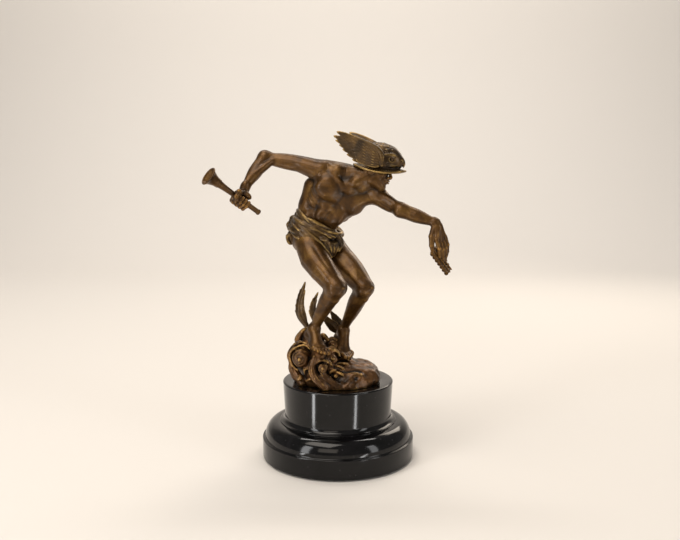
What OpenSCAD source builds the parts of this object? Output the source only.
// Bronze statuette of a winged messenger on a turned black marble base.
// The frame's origin is the centre of the felt's underside, +Z is up, and
// the figure is seen from -Y. All sizes are in millimetres.

/* [Marble base] */
// Diameter of the marble foot
foot_d = 150; // [120:1:180]
// Height of the upright band of the foot
band_h = 19; // [14:0.5:26]
// Height of the rounded shoulder above the band
shoulder_h = 16; // [12:0.5:22]
// Width of the flat ledge between band and shoulder
ledge_w = 2.6; // [1:0.1:5]
// Diameter of the drum at its top
drum_d = 103; // [86:1:124]
// How much narrower the drum is at its waist
drum_taper = 4; // [0:0.5:8]
// Height of the drum
drum_h = 40; // [30:1:50]
// Radius of the cove at the drum's bottom
cove_r = 5; // [3:0.5:7]
// Thickness of the felt
felt_t = 1.5; // [1:0.1:3]
// How far the felt stops short of the foot's edge
felt_inset = 5; // [3:0.5:10]

/* [Fastening] */
// Diameter of the threaded rod
rod_d = 8; // [6:0.5:10]
// Clearance around the rod in the marble
rod_clear = 0.75; // [0.3:0.05:1.5]
// Diameter of the washer
washer_d = 24; // [20:1:30]
// Thickness of the washer
washer_t = 1.6; // [1:0.1:3]
// Depth of the counterbore in the foot
counterbore_h = 14; // [12:0.5:20]
// Gap around the washer in the counterbore
counterbore_clear = 3; // [1:0.5:5]
// Thickness of the bar that the rod screws into
anchor_t = 6; // [4:0.5:8]
// Width of that bar
anchor_w = 14; // [12:0.5:20]
// Height of the bar above the marble
anchor_rise = 3; // [1:0.5:5]

/* [Bronze castings] */
// Height of the bronze above the marble
figure_h = 245; // [190:1:300]
// Wall of the hollow rock casting
rock_wall = 4; // [3:0.5:5]
// Diameter of the dowel pins between castings
pin_d = 3; // [2:0.1:3.6]
// Length of the dowel pins
pin_l = 14; // [10:0.5:18]
// Clearance around a dowel pin
pin_clear = 0.1; // [0.05:0.05:0.2]

/* [Horn and pipes] */
// Length of the horn
horn_l = 62; // [50:1:80]
// Diameter of the horn's bell
bell_d = 18; // [14:0.5:22]
// Diameter of the horn's tube at the mouthpiece
tube_d = 4.8; // [4:0.1:6]
// Wall of the bell
bell_wall = 1; // [0.8:0.1:1.5]
// Number of pipes in the pan pipes
pipe_n = 7; // [5:1:8]
// Diameter of one pipe
pipe_d = 3.8; // [3:0.1:4.4]
// Bore of one pipe
pipe_bore = 2.2; // [1.5:0.1:2.6]

/* [Hidden] */

bronze = [0.36, 0.27, 0.16];
marble = [0.05, 0.05, 0.06];
steel = [0.6, 0.6, 0.62];

eps = 0.01;
ARC = 12;                            // steps in a quarter round of the marble
nut_h = rod_d * 0.8;                 // a standard nut's proportions
nut_across = rod_d * 1.625;
rod_end = 2;                         // rod that shows past the nut
foot_r = foot_d / 2;
foot_h = band_h + shoulder_h;
drum_r = drum_d / 2;
waist_r = drum_r - drum_taper / 2;
marble_top = felt_t + foot_h + drum_h;
k = figure_h / 245;                  // the figure's points are drawn 245 high
anchor_l = 52 * k;                   // the bar spans the hollow of the rock

// A figure point: x and y from the base's axis, z from the marble's top.
function at(p) = [p[0] * k, p[1] * k, p[2] * k + marble_top];
// A point a share s of the way from a to b.
function between(a, b, s) = a + (b - a) * s;

// Skeleton, drawn for a figure 245 high.
pelvis = [-20, 3, 140];
waist = [-16, -3, 156];
chest = [2, -14, 180];
neck_root = [12, -18, 194];
skull = [36, -26, 214];
hip_r = [-28, -7, 138];
hip_l = [-8, 13, 134];
knee_r = [-1, -45, 98];
knee_l = [26, -18, 94];
ankle_r = [-23, -14, 54];
ankle_l = [5, 13, 47];
heel_r = [-27, -7, 46];
ball_r = [-18, -33, 38];
toe_r = [-13, -41, 35];
heel_l = [1, 19, 37];
ball_l = [6, 0, 26];
toe_l = [12, -8, 23];
shoulder_r = [-16, -17, 206];
shoulder_l = [33, -18, 184];
elbow_r = [-69, -8, 217];
elbow_l = [58, -37, 169];
wrist_r = [-86, -26, 190];
wrist_l = [89, -45, 158];
fist = [-89, -31, 178];
palm_l = [94, -47, 146];
tips_l = [98, -47, 129];
horn_dir = [-0.68, -0.45, 0.55];      // from the mouthpiece towards the bell
fist_share = 0.36;                   // share of the horn below the fist
face_turn = -16;                     // the head's heading, 0 being +X
face_drop = 10;                      // how far the head looks down

// ---- shared shapes ----

// A round-ended bar from a to b, in figure points.
module limb(a, b, ra, rb, fn = 18) {
    hull() {
        translate(at(a)) sphere(r = ra * k, $fn = fn);
        translate(at(b)) sphere(r = rb * k, $fn = fn);
    }
}

// A run of limbs through points, with a radius at each.
module chain(points, radii, fn = 18) {
    for (i = [0 : len(points) - 2])
        limb(points[i], points[i + 1], radii[i], radii[i + 1], fn);
}

// One convex mass around several balls, each [point, radius].
module mass(balls, fn = 18) {
    hull()
        for (b = balls)
            translate(at(b[0])) sphere(r = b[1] * k, $fn = fn);
}

// Turns +Z onto the direction d.
module along(d) {
    length = norm(d);
    rotate([0, acos(d[2] / length), atan2(d[1], d[0])]) children();
}

// ---- marble base ----

module felt_pad() {
    color("darkgreen")
        cylinder(r = foot_r - felt_inset, h = felt_t, $fn = 96);
}

// Outline of the foot: band, ledge and a rounded shoulder up to the drum.
function foot_outline() =
    let (shoulder_r = foot_r - ledge_w, top_r = waist_r + cove_r,
         edge = 1)
    concat(
        [[0, 0], [foot_r - edge, 0], [foot_r, edge],
         [foot_r, band_h - edge], [foot_r - edge, band_h],
         [shoulder_r, band_h]],
        [for (i = [1 : ARC])
            let (a = 90 * i / ARC)
            [top_r + (shoulder_r - top_r) * pow(cos(a), 0.8),
             band_h + shoulder_h * sin(a)]],
        [[0, foot_h]]
    );

module marble_foot() {
    color(marble)
        translate([0, 0, felt_t])
            difference() {
                rotate_extrude($fn = 128) polygon(foot_outline());
                translate([0, 0, -eps])
                    cylinder(d = rod_d + 2 * rod_clear, h = foot_h + 1, $fn = 48);
                translate([0, 0, -eps])
                    cylinder(d = washer_d + 2 * counterbore_clear,
                             h = counterbore_h + eps, $fn = 64);
            }
}

// Outline of the drum: a cove at the bottom and a slightly wider top.
function drum_outline() =
    let (edge = 0.8)
    concat(
        [[0, 0], [waist_r + cove_r, 0], [waist_r + cove_r, 0.6]],
        [for (i = [1 : ARC])
            let (a = 90 * i / ARC)
            [waist_r + cove_r * (1 - sin(a)),
             0.6 + cove_r * (1 - cos(a))]],
        [[drum_r, drum_h - edge], [drum_r - edge, drum_h], [0, drum_h]]
    );

module marble_drum() {
    color(marble)
        translate([0, 0, felt_t + foot_h])
            difference() {
                rotate_extrude($fn = 128) polygon(drum_outline());
                translate([0, 0, -1])
                    cylinder(d = rod_d + 2 * rod_clear, h = drum_h + 2, $fn = 48);
            }
}

// ---- fastening ----

seat_z = felt_t + counterbore_h;     // ceiling of the counterbore
rod_bottom = seat_z - washer_t - nut_h - rod_end;
anchor_z = marble_top + anchor_rise;

module threaded_rod() {
    color(steel)
        translate([0, 0, rod_bottom])
            cylinder(d = rod_d, h = anchor_z + anchor_t - rod_bottom, $fn = 48);
}

module rod_washer() {
    color(steel)
        translate([0, 0, seat_z - washer_t])
            difference() {
                cylinder(d = washer_d, h = washer_t, $fn = 64);
                translate([0, 0, -1])
                    cylinder(d = rod_d + 0.4, h = washer_t + 2, $fn = 48);
            }
}

module rod_nut() {
    color(steel)
        translate([0, 0, seat_z - washer_t - nut_h])
            difference() {
                cylinder(d = nut_across / cos(30), h = nut_h, $fn = 6);
                translate([0, 0, -1])
                    cylinder(d = rod_d + 0.1, h = nut_h + 2, $fn = 48);
            }
}

module bar_block() {
    translate([-anchor_l / 2, -anchor_w / 2, anchor_z])
        cube([anchor_l, anchor_w, anchor_t]);
}

module anchor_bar() {
    color(steel)
        difference() {
            bar_block();
            translate([0, 0, anchor_z - 1])
                cylinder(d = rod_d + 0.1, h = anchor_t + 2, $fn = 48);
        }
}

// ---- rock ----

// The flat slab: the balls its shape is stretched over.
slab = [
    [[30, -22, 2], 6], [[35, 2, 4], 7], [[12, 28, 6], 8], [[-22, 28, 8], 9],
    [[-32, -12, 4], 6], [[-6, -30, 2], 6], [[12, -35, 2], 6],
    [[20, 8, 13], 6], [[0, -16, 12], 7], [[33, -6, 8], 6]
];

// The inside of the slab, left open underneath.
module slab_hollow() {
    inner = [for (b = slab) [b[0], b[1] - rock_wall / k]];
    hull() {
        mass(inner, 16);
        translate([0, 0, -12]) mass(inner, 16);
    }
}

// Ledges inside the slab that the anchor bar lies on.
module ledges() {
    ledge_l = 24;
    for (s = [-1, 1])
        translate([s * (anchor_l / 2 - 4 + ledge_l / 2) - ledge_l / 2,
                   -anchor_w / 2 - 2, marble_top])
            cube([ledge_l, anchor_w + 4, anchor_rise]);
}

module rock_solid() {
    mass(slab, 16);
    // wave that rises under the right foot
    mass([[[-30, -18, 10], 8], [[-33, 4, 16], 9], [[-20, 16, 16], 10],
          [[-14, -28, 10], 8], [[-31, -4, 34], 7], [[-22, -30, 24], 8]], 16);
    mass([[[-33, -4, 32], 7], [[-30, 4, 45], 5], [[-22, 8, 36], 6],
          [[-18, -18, 31], 6]], 16);
    // foot rest behind, under the left foot
    mass([[[-14, -24, 24], 7], [[-10, 12, 24], 8], [[6, 8, 18], 8],
          [[12, -5, 13], 6]], 16);
    // curls of the wave
    limb([-38, -20, 30], [-34, -30, 22], 8, 7, 14);
    limb([-16, -37, 18], [-10, -38, 20], 5, 4, 14);
    limb([0, 10, 26], [-10, 14, 34], 6, 5, 14);
    limb([8, 8, 18], [13, 6, 25], 4, 4, 14);
    limb([-38, 4, 26], [-39, -8, 16], 7, 6, 14);
}

module rock_base() {
    color(bronze)
        difference() {
            intersection() {
                rock_solid();
                translate([-200, -200, marble_top]) cube(400);
            }
            difference() {
                slab_hollow();
                ledges();
            }
            bar_block();
            dowel_holes();
            foot_solids();
        }
}

// ---- legs ----

module foot_solid(ankle, heel, ball, toe) {
    chain([ankle, heel], [4.8, 4.4], 14);
    chain([heel, ball, toe], [4.2, 4.6, 2.8], 14);
    limb(ankle, ball, 4.8, 4.2, 14);
}

module foot_solids() {
    foot_solid(ankle_r, heel_r, ball_r, toe_r);
    foot_solid(ankle_l, heel_l, ball_l, toe_l);
}

module right_leg_solid() {
    chain([hip_r, [-23, -20, 122], [-15, -30, 113], knee_r],
          [15, 13.4, 13, 10]);
    chain([knee_r, [-9, -36, 84], [-18, -22, 66], ankle_r],
          [9.4, 8.8, 5.8, 5.2]);
    foot_solid(ankle_r, heel_r, ball_r, toe_r);
}

module left_leg_solid() {
    chain([hip_l, [2, 6, 120], [13, -4, 109], knee_l],
          [14, 12.6, 12, 9.4]);
    chain([knee_l, [19, -8, 80], [11, 6, 61], ankle_l],
          [9, 9, 5.6, 4.8]);
    foot_solid(ankle_l, heel_l, ball_l, toe_l);
}

module right_leg() {
    color(bronze)
        difference() {
            right_leg_solid();
            torso_solid();
            dowel_holes();
        }
}

module left_leg() {
    color(bronze)
        difference() {
            left_leg_solid();
            right_leg_solid();
            torso_solid();
            dowel_holes();
        }
}

// ---- torso ----

module torso_solid() {
    // pelvis and buttocks
    mass([[[-29, -3, 143], 13], [[-12, 9, 139], 12], [[-33, 2, 139], 11],
          [[-17, 17, 136], 11], [[-20, 0, 152], 12]]);
    // belly
    mass([[[-26, 0, 165], 11], [[3, -10, 167], 8.5], [[-10, -10, 155], 8],
          [[-22, 2, 150], 13], [[-14, -6, 147], 9]]);
    // rib cage
    mass([[[-23, -10, 190], 10], [[-25, -6, 177], 11], [[-27, -2, 168], 10.5],
          [[24, -14, 184], 9], [[14, -14, 174], 9], [[6, -11, 168], 8.5],
          [[-6, -20, 184], 9], [[12, -22, 182], 8], [[0, -2, 186], 11],
          [neck_root, 9]]);
    // shoulders and the root of the neck
    limb(shoulder_r + [6, 2, -4], chest, 10, 12);
    limb(shoulder_l + [-5, 2, 0], chest + [8, 0, 0], 9, 12);
    limb([-9, -13, 205], [8, -13, 201], 9.5, 10);
    limb(shoulder_l + [-8, 2, 4], neck_root, 7, 9);
    limb(neck_root, between(neck_root, skull, 0.35), 9.5, 8);
}

module torso() {
    color(bronze)
        difference() {
            torso_solid();
            dowel_holes();
        }
}

// ---- loincloth ----

// A point on the twisted band round the hips, at angle a seen from above.
function band_point(a, lift, out) =
    pelvis + [cos(a) * (23 + out), sin(a) * (20 + out), 5 + lift]
    + [0, 0, -16 * cos(a - 15)];

module loincloth_solid() {
    turns = 14;
    for (i = [0 : turns - 1]) {
        a = 360 * i / turns;
        b = 360 * (i + 1) / turns;
        hull() {
            translate(at(band_point(a, 7, -4))) sphere(r = 3 * k, $fn = 10);
            translate(at(band_point(b, 7, -4))) sphere(r = 3 * k, $fn = 10);
            translate(at(band_point(a, -5, -2))) sphere(r = 3.6 * k, $fn = 10);
            translate(at(band_point(b, -5, -2))) sphere(r = 3.6 * k, $fn = 10);
        }
    }
    // bunched ends at the back and the flap in front
    limb([-45, 4, 155], [-36, 10, 158], 4.5, 5, 12);
    limb([-45, 3, 146], [-46, 4, 137], 5, 4, 12);
    mass([[[-5, -12, 141], 4], [[0, -8, 131], 4], [[-5, -12, 125], 3],
          [[-13, -10, 135], 4]], 12);
}

module loincloth() {
    color(bronze)
        difference() {
            loincloth_solid();
            torso_solid();
            right_leg_solid();
            left_leg_solid();
        }
}

// ---- head and helmet ----

// Places its children at the skull, looking along the head's own heading.
module at_skull() {
    translate(at(skull)) rotate([0, 0, face_turn]) rotate([0, face_drop, 0])
        children();
}

// A convex mass of balls round the skull; x forwards, z up, y to the left.
module skull_mass(balls, fn = 16) {
    at_skull()
        hull()
            for (b = balls) translate(b[0] * k) sphere(r = b[1] * k, $fn = fn);
}

module head_solid() {
    limb(between(neck_root, skull, 0.3), between(neck_root, skull, 0.8), 8.4, 8.4);
    // skull and face
    skull_mass([[[-1, 0, 1], 12], [[6, 0, -1], 9.5], [[10, 0, -10], 6],
                [[11.5, 0, -17], 4], [[-4, 0, -7], 9]]);
    skull_mass([[[15, 0, -9], 2], [[12, 0, -3], 3], [[13, 0, -13], 3]], 12);
    // hair behind the ears
    skull_mass([[[-6, 8, -10], 5], [[-6, -8, -10], 5], [[-9, 0, -12], 5]], 12);
}

module head() {
    color(bronze)
        difference() {
            head_solid();
            torso_solid();
            dowel_holes();
        }
}

brim = [
    [-22, 0, 0], [-12, 15, -3], [6, 17, -6], [18, 12, -7], [27, 4, -7.5],
    [27, -4, -7.5], [18, -12, -7], [6, -17, -6], [-12, -15, -3], [-22, 0, 0]
];

module helmet_solid() {
    // cap
    skull_mass([[[1, 0, 2], 15], [[7, 0, 1.5], 14]], 20);
    // brim that widens from the nape to the lower beak of the bird
    for (i = [0 : len(brim) - 2])
        skull_mass([[brim[i], 1.5], [brim[i + 1], 1.5], [[2, 0, 4], 11]], 10);
    // bird's head with a hooked upper beak
    skull_mass([[[13, 0, 4], 9], [[19, 0, 2.5], 6.5], [[21, 0, -1], 5.5]]);
    skull_mass([[[22, 0, 2], 4.5], [[25.5, 0, -0.5], 2.6]], 12);
    skull_mass([[[25.5, 0, -0.5], 2.6], [[26.5, 0, -3.5], 1]], 12);
}

module helmet() {
    color(bronze)
        difference() {
            helmet_solid();
            head_solid();
            torso_solid();
        }
}

// Feathered wing as a flat fan, s = -1 on the right side, 1 on the left.
module helmet_wing_solid(s) {
    skull_mass([[[-3, s * 16, -4], 2.2], [[7, s * 15, -2], 2.4],
                [[-14, s * 16, -3], 2], [[-24, s * 18, 5], 2],
                [[-22, s * 18, 20], 2], [[-5, s * 14, 14], 2.4]], 12);
    skull_mass([[[-20, s * 18, 6], 2], [[-12, s * 16, 19], 2],
                [[-40, s * 20, 17], 1.4], [[-38, s * 20, 22], 1.4],
                [[-29, s * 19, 11], 1.6]], 12);
}

module helmet_wing(s) {
    color(bronze)
        difference() {
            helmet_wing_solid(s);
            helmet_solid();
            head_solid();
        }
}

module helmet_wing_right() { helmet_wing(-1); }
module helmet_wing_left() { helmet_wing(1); }

// ---- arms ----

module right_arm_solid() {
    chain([shoulder_r, [-33, -15, 210.5], [-50, -12, 214], elbow_r],
          [10, 7.6, 7, 6.6]);
    chain([elbow_r, [-78, -18, 203], wrist_r], [6.6, 6.8, 4.6]);
    mass([[wrist_r, 4.4], [fist + [-3, -3, 2], 6], [fist + [3, 3, -2], 6],
          [fist + [0, -1, -5], 4.5]], 14);
}

module right_arm() {
    color(bronze)
        difference() {
            right_arm_solid();
            torso_solid();
            horn_outside(0.02);
            dowel_holes();
        }
}

module left_arm_solid() {
    chain([shoulder_l, [42, -25, 179], [50, -31, 173], elbow_l],
          [9, 7.4, 6.4, 6]);
    chain([elbow_l, [71, -41, 164], wrist_l], [6.2, 7, 4.2]);
    mass([[wrist_l, 4.4], [palm_l + [0, -5, 0], 4], [palm_l + [0, 5, 0], 4],
          [palm_l + [-4, 0, 2], 4]], 14);
    mass([[palm_l + [0, -5, -2], 3.6], [palm_l + [0, 5, -2], 3.6],
          [tips_l + [0, -6, 0], 2.8], [tips_l + [0, 5, 0], 2.8]], 14);
}

module left_arm() {
    color(bronze)
        difference() {
            left_arm_solid();
            torso_solid();
            head_solid();
            helmet_solid();
            pipe_outsides();
            dowel_holes();
        }
}

// ---- horn ----

horn_start = -horn_l * fist_share;

// Radius of the horn's outside at a share t of its length.
function horn_r(t) =
    tube_d / 2 * (1 + 0.35 * t) + (bell_d / 2 - tube_d * 0.675) * pow(t, 7);

module horn_outside(gap = 0) {
    steps = 24;
    translate(at(fist))
        along(horn_dir)
            translate([0, 0, horn_start])
                rotate_extrude($fn = 48)
                    polygon(concat(
                        [[0, 0]],
                        [for (i = [0 : steps])
                            [horn_r(i / steps) + gap, horn_l * i / steps]],
                        [[0, horn_l]]));
}

module horn() {
    steps = 12;
    color(bronze)
        difference() {
            horn_outside();
            translate(at(fist))
                along(horn_dir)
                    translate([0, 0, horn_start])
                        rotate_extrude($fn = 48)
                            polygon(concat(
                                [[0, horn_l + eps]],
                                [for (i = [steps : -1 : 0])
                                    let (t = 0.5 + 0.5 * i / steps)
                                    [max(horn_r(t) - bell_wall, 0.4),
                                     horn_l * t + (i == steps ? eps : 0)]],
                                [[0, horn_l * 0.5]]));
        }
}

// ---- pan pipes ----

pipes_at = [91.5, -54, 121];           // middle of the row of mouths
row_dir = [0.6, 0, -0.8];          // along the row
pipe_dir = [0.35, 0.9, 0.28];        // from the mouths to the closed ends

module place_pipe(i) {
    s = (i - (pipe_n - 1) / 2) * (pipe_d - 0.2);
    translate(at(pipes_at) + row_dir * s) along(pipe_dir) children();
}

function pipe_length(i) = 24 - 1.8 * i;

module pipe_outsides() {
    for (i = [0 : pipe_n - 1])
        place_pipe(i) cylinder(d = pipe_d, h = pipe_length(i), $fn = 24);
}

module pan_pipes() {
    color(bronze)
        difference() {
            pipe_outsides();
            for (i = [0 : pipe_n - 1])
                place_pipe(i)
                    translate([0, 0, -eps]) cylinder(d = pipe_bore, h = 6, $fn = 24);
        }
}

// ---- heel wings ----

// A wing as a flat blade from root through middle to tip.
module blade(root, middle, tip, w) {
    chain([root, middle, tip], [w * 0.6, w, w * 0.4], 10);
}

module heel_wing(root, middle, tip, w) {
    color(bronze)
        difference() {
            blade(root, middle, tip, w);
            right_leg_solid();
            left_leg_solid();
            rock_solid();
        }
}

module right_heel_wing_outer() {
    heel_wing([-28, -5, 52], [-35, -4, 70], [-34, -4, 93], 4.6);
}
module right_heel_wing_inner() {
    heel_wing([-22, -11, 60], [-25, 0, 70], [-21, 2, 83], 2.8);
}
module left_heel_wing_outer() {
    heel_wing([1, 19, 44], [-5, 20, 53], [-13, 21, 56], 5);
}
module left_heel_wing_inner() {
    color(bronze)
        difference() {
            heel_wing([4, 20, 44], [-1, 28, 56], [-6, 32, 66], 3);
            blade([1, 19, 44], [-5, 20, 53], [-13, 21, 56], 5);
        }
}

// ---- dowel pins ----

// Each dowel: where it is centred, and which way it runs.
dowels = [
    [between(neck_root, skull, 0.38), skull - neck_root],
    [shoulder_r + [-3, 0, 1], shoulder_r - elbow_r],
    [shoulder_l + [4, 1, -2], shoulder_l - elbow_l],
    [between(hip_r, knee_r, 0.14), hip_r - knee_r],
    [between(hip_l, knee_l, 0.16), hip_l - knee_l],
    [ball_r + [-1, 3, -4], [0, 0, 1]],
    [ball_l + [0, 1, -4], [0, 0, 1]]
];

module dowel_set(gap) {
    for (d = dowels)
        translate(at(d[0]))
            along(d[1])
                cylinder(d = pin_d + 2 * gap, h = pin_l * k + 2 * gap,
                         center = true, $fn = 24);
}

module dowel_holes() { dowel_set(pin_clear); }

module dowel_pins() { color(steel) dowel_set(0); }

felt_pad();
marble_foot();
marble_drum();
threaded_rod();
rod_washer();
rod_nut();
anchor_bar();
rock_base();
dowel_pins();
right_leg();
left_leg();
torso();
loincloth();
head();
helmet();
helmet_wing_right();
helmet_wing_left();
right_arm();
left_arm();
horn();
pan_pipes();
right_heel_wing_outer();
right_heel_wing_inner();
left_heel_wing_outer();
left_heel_wing_inner();
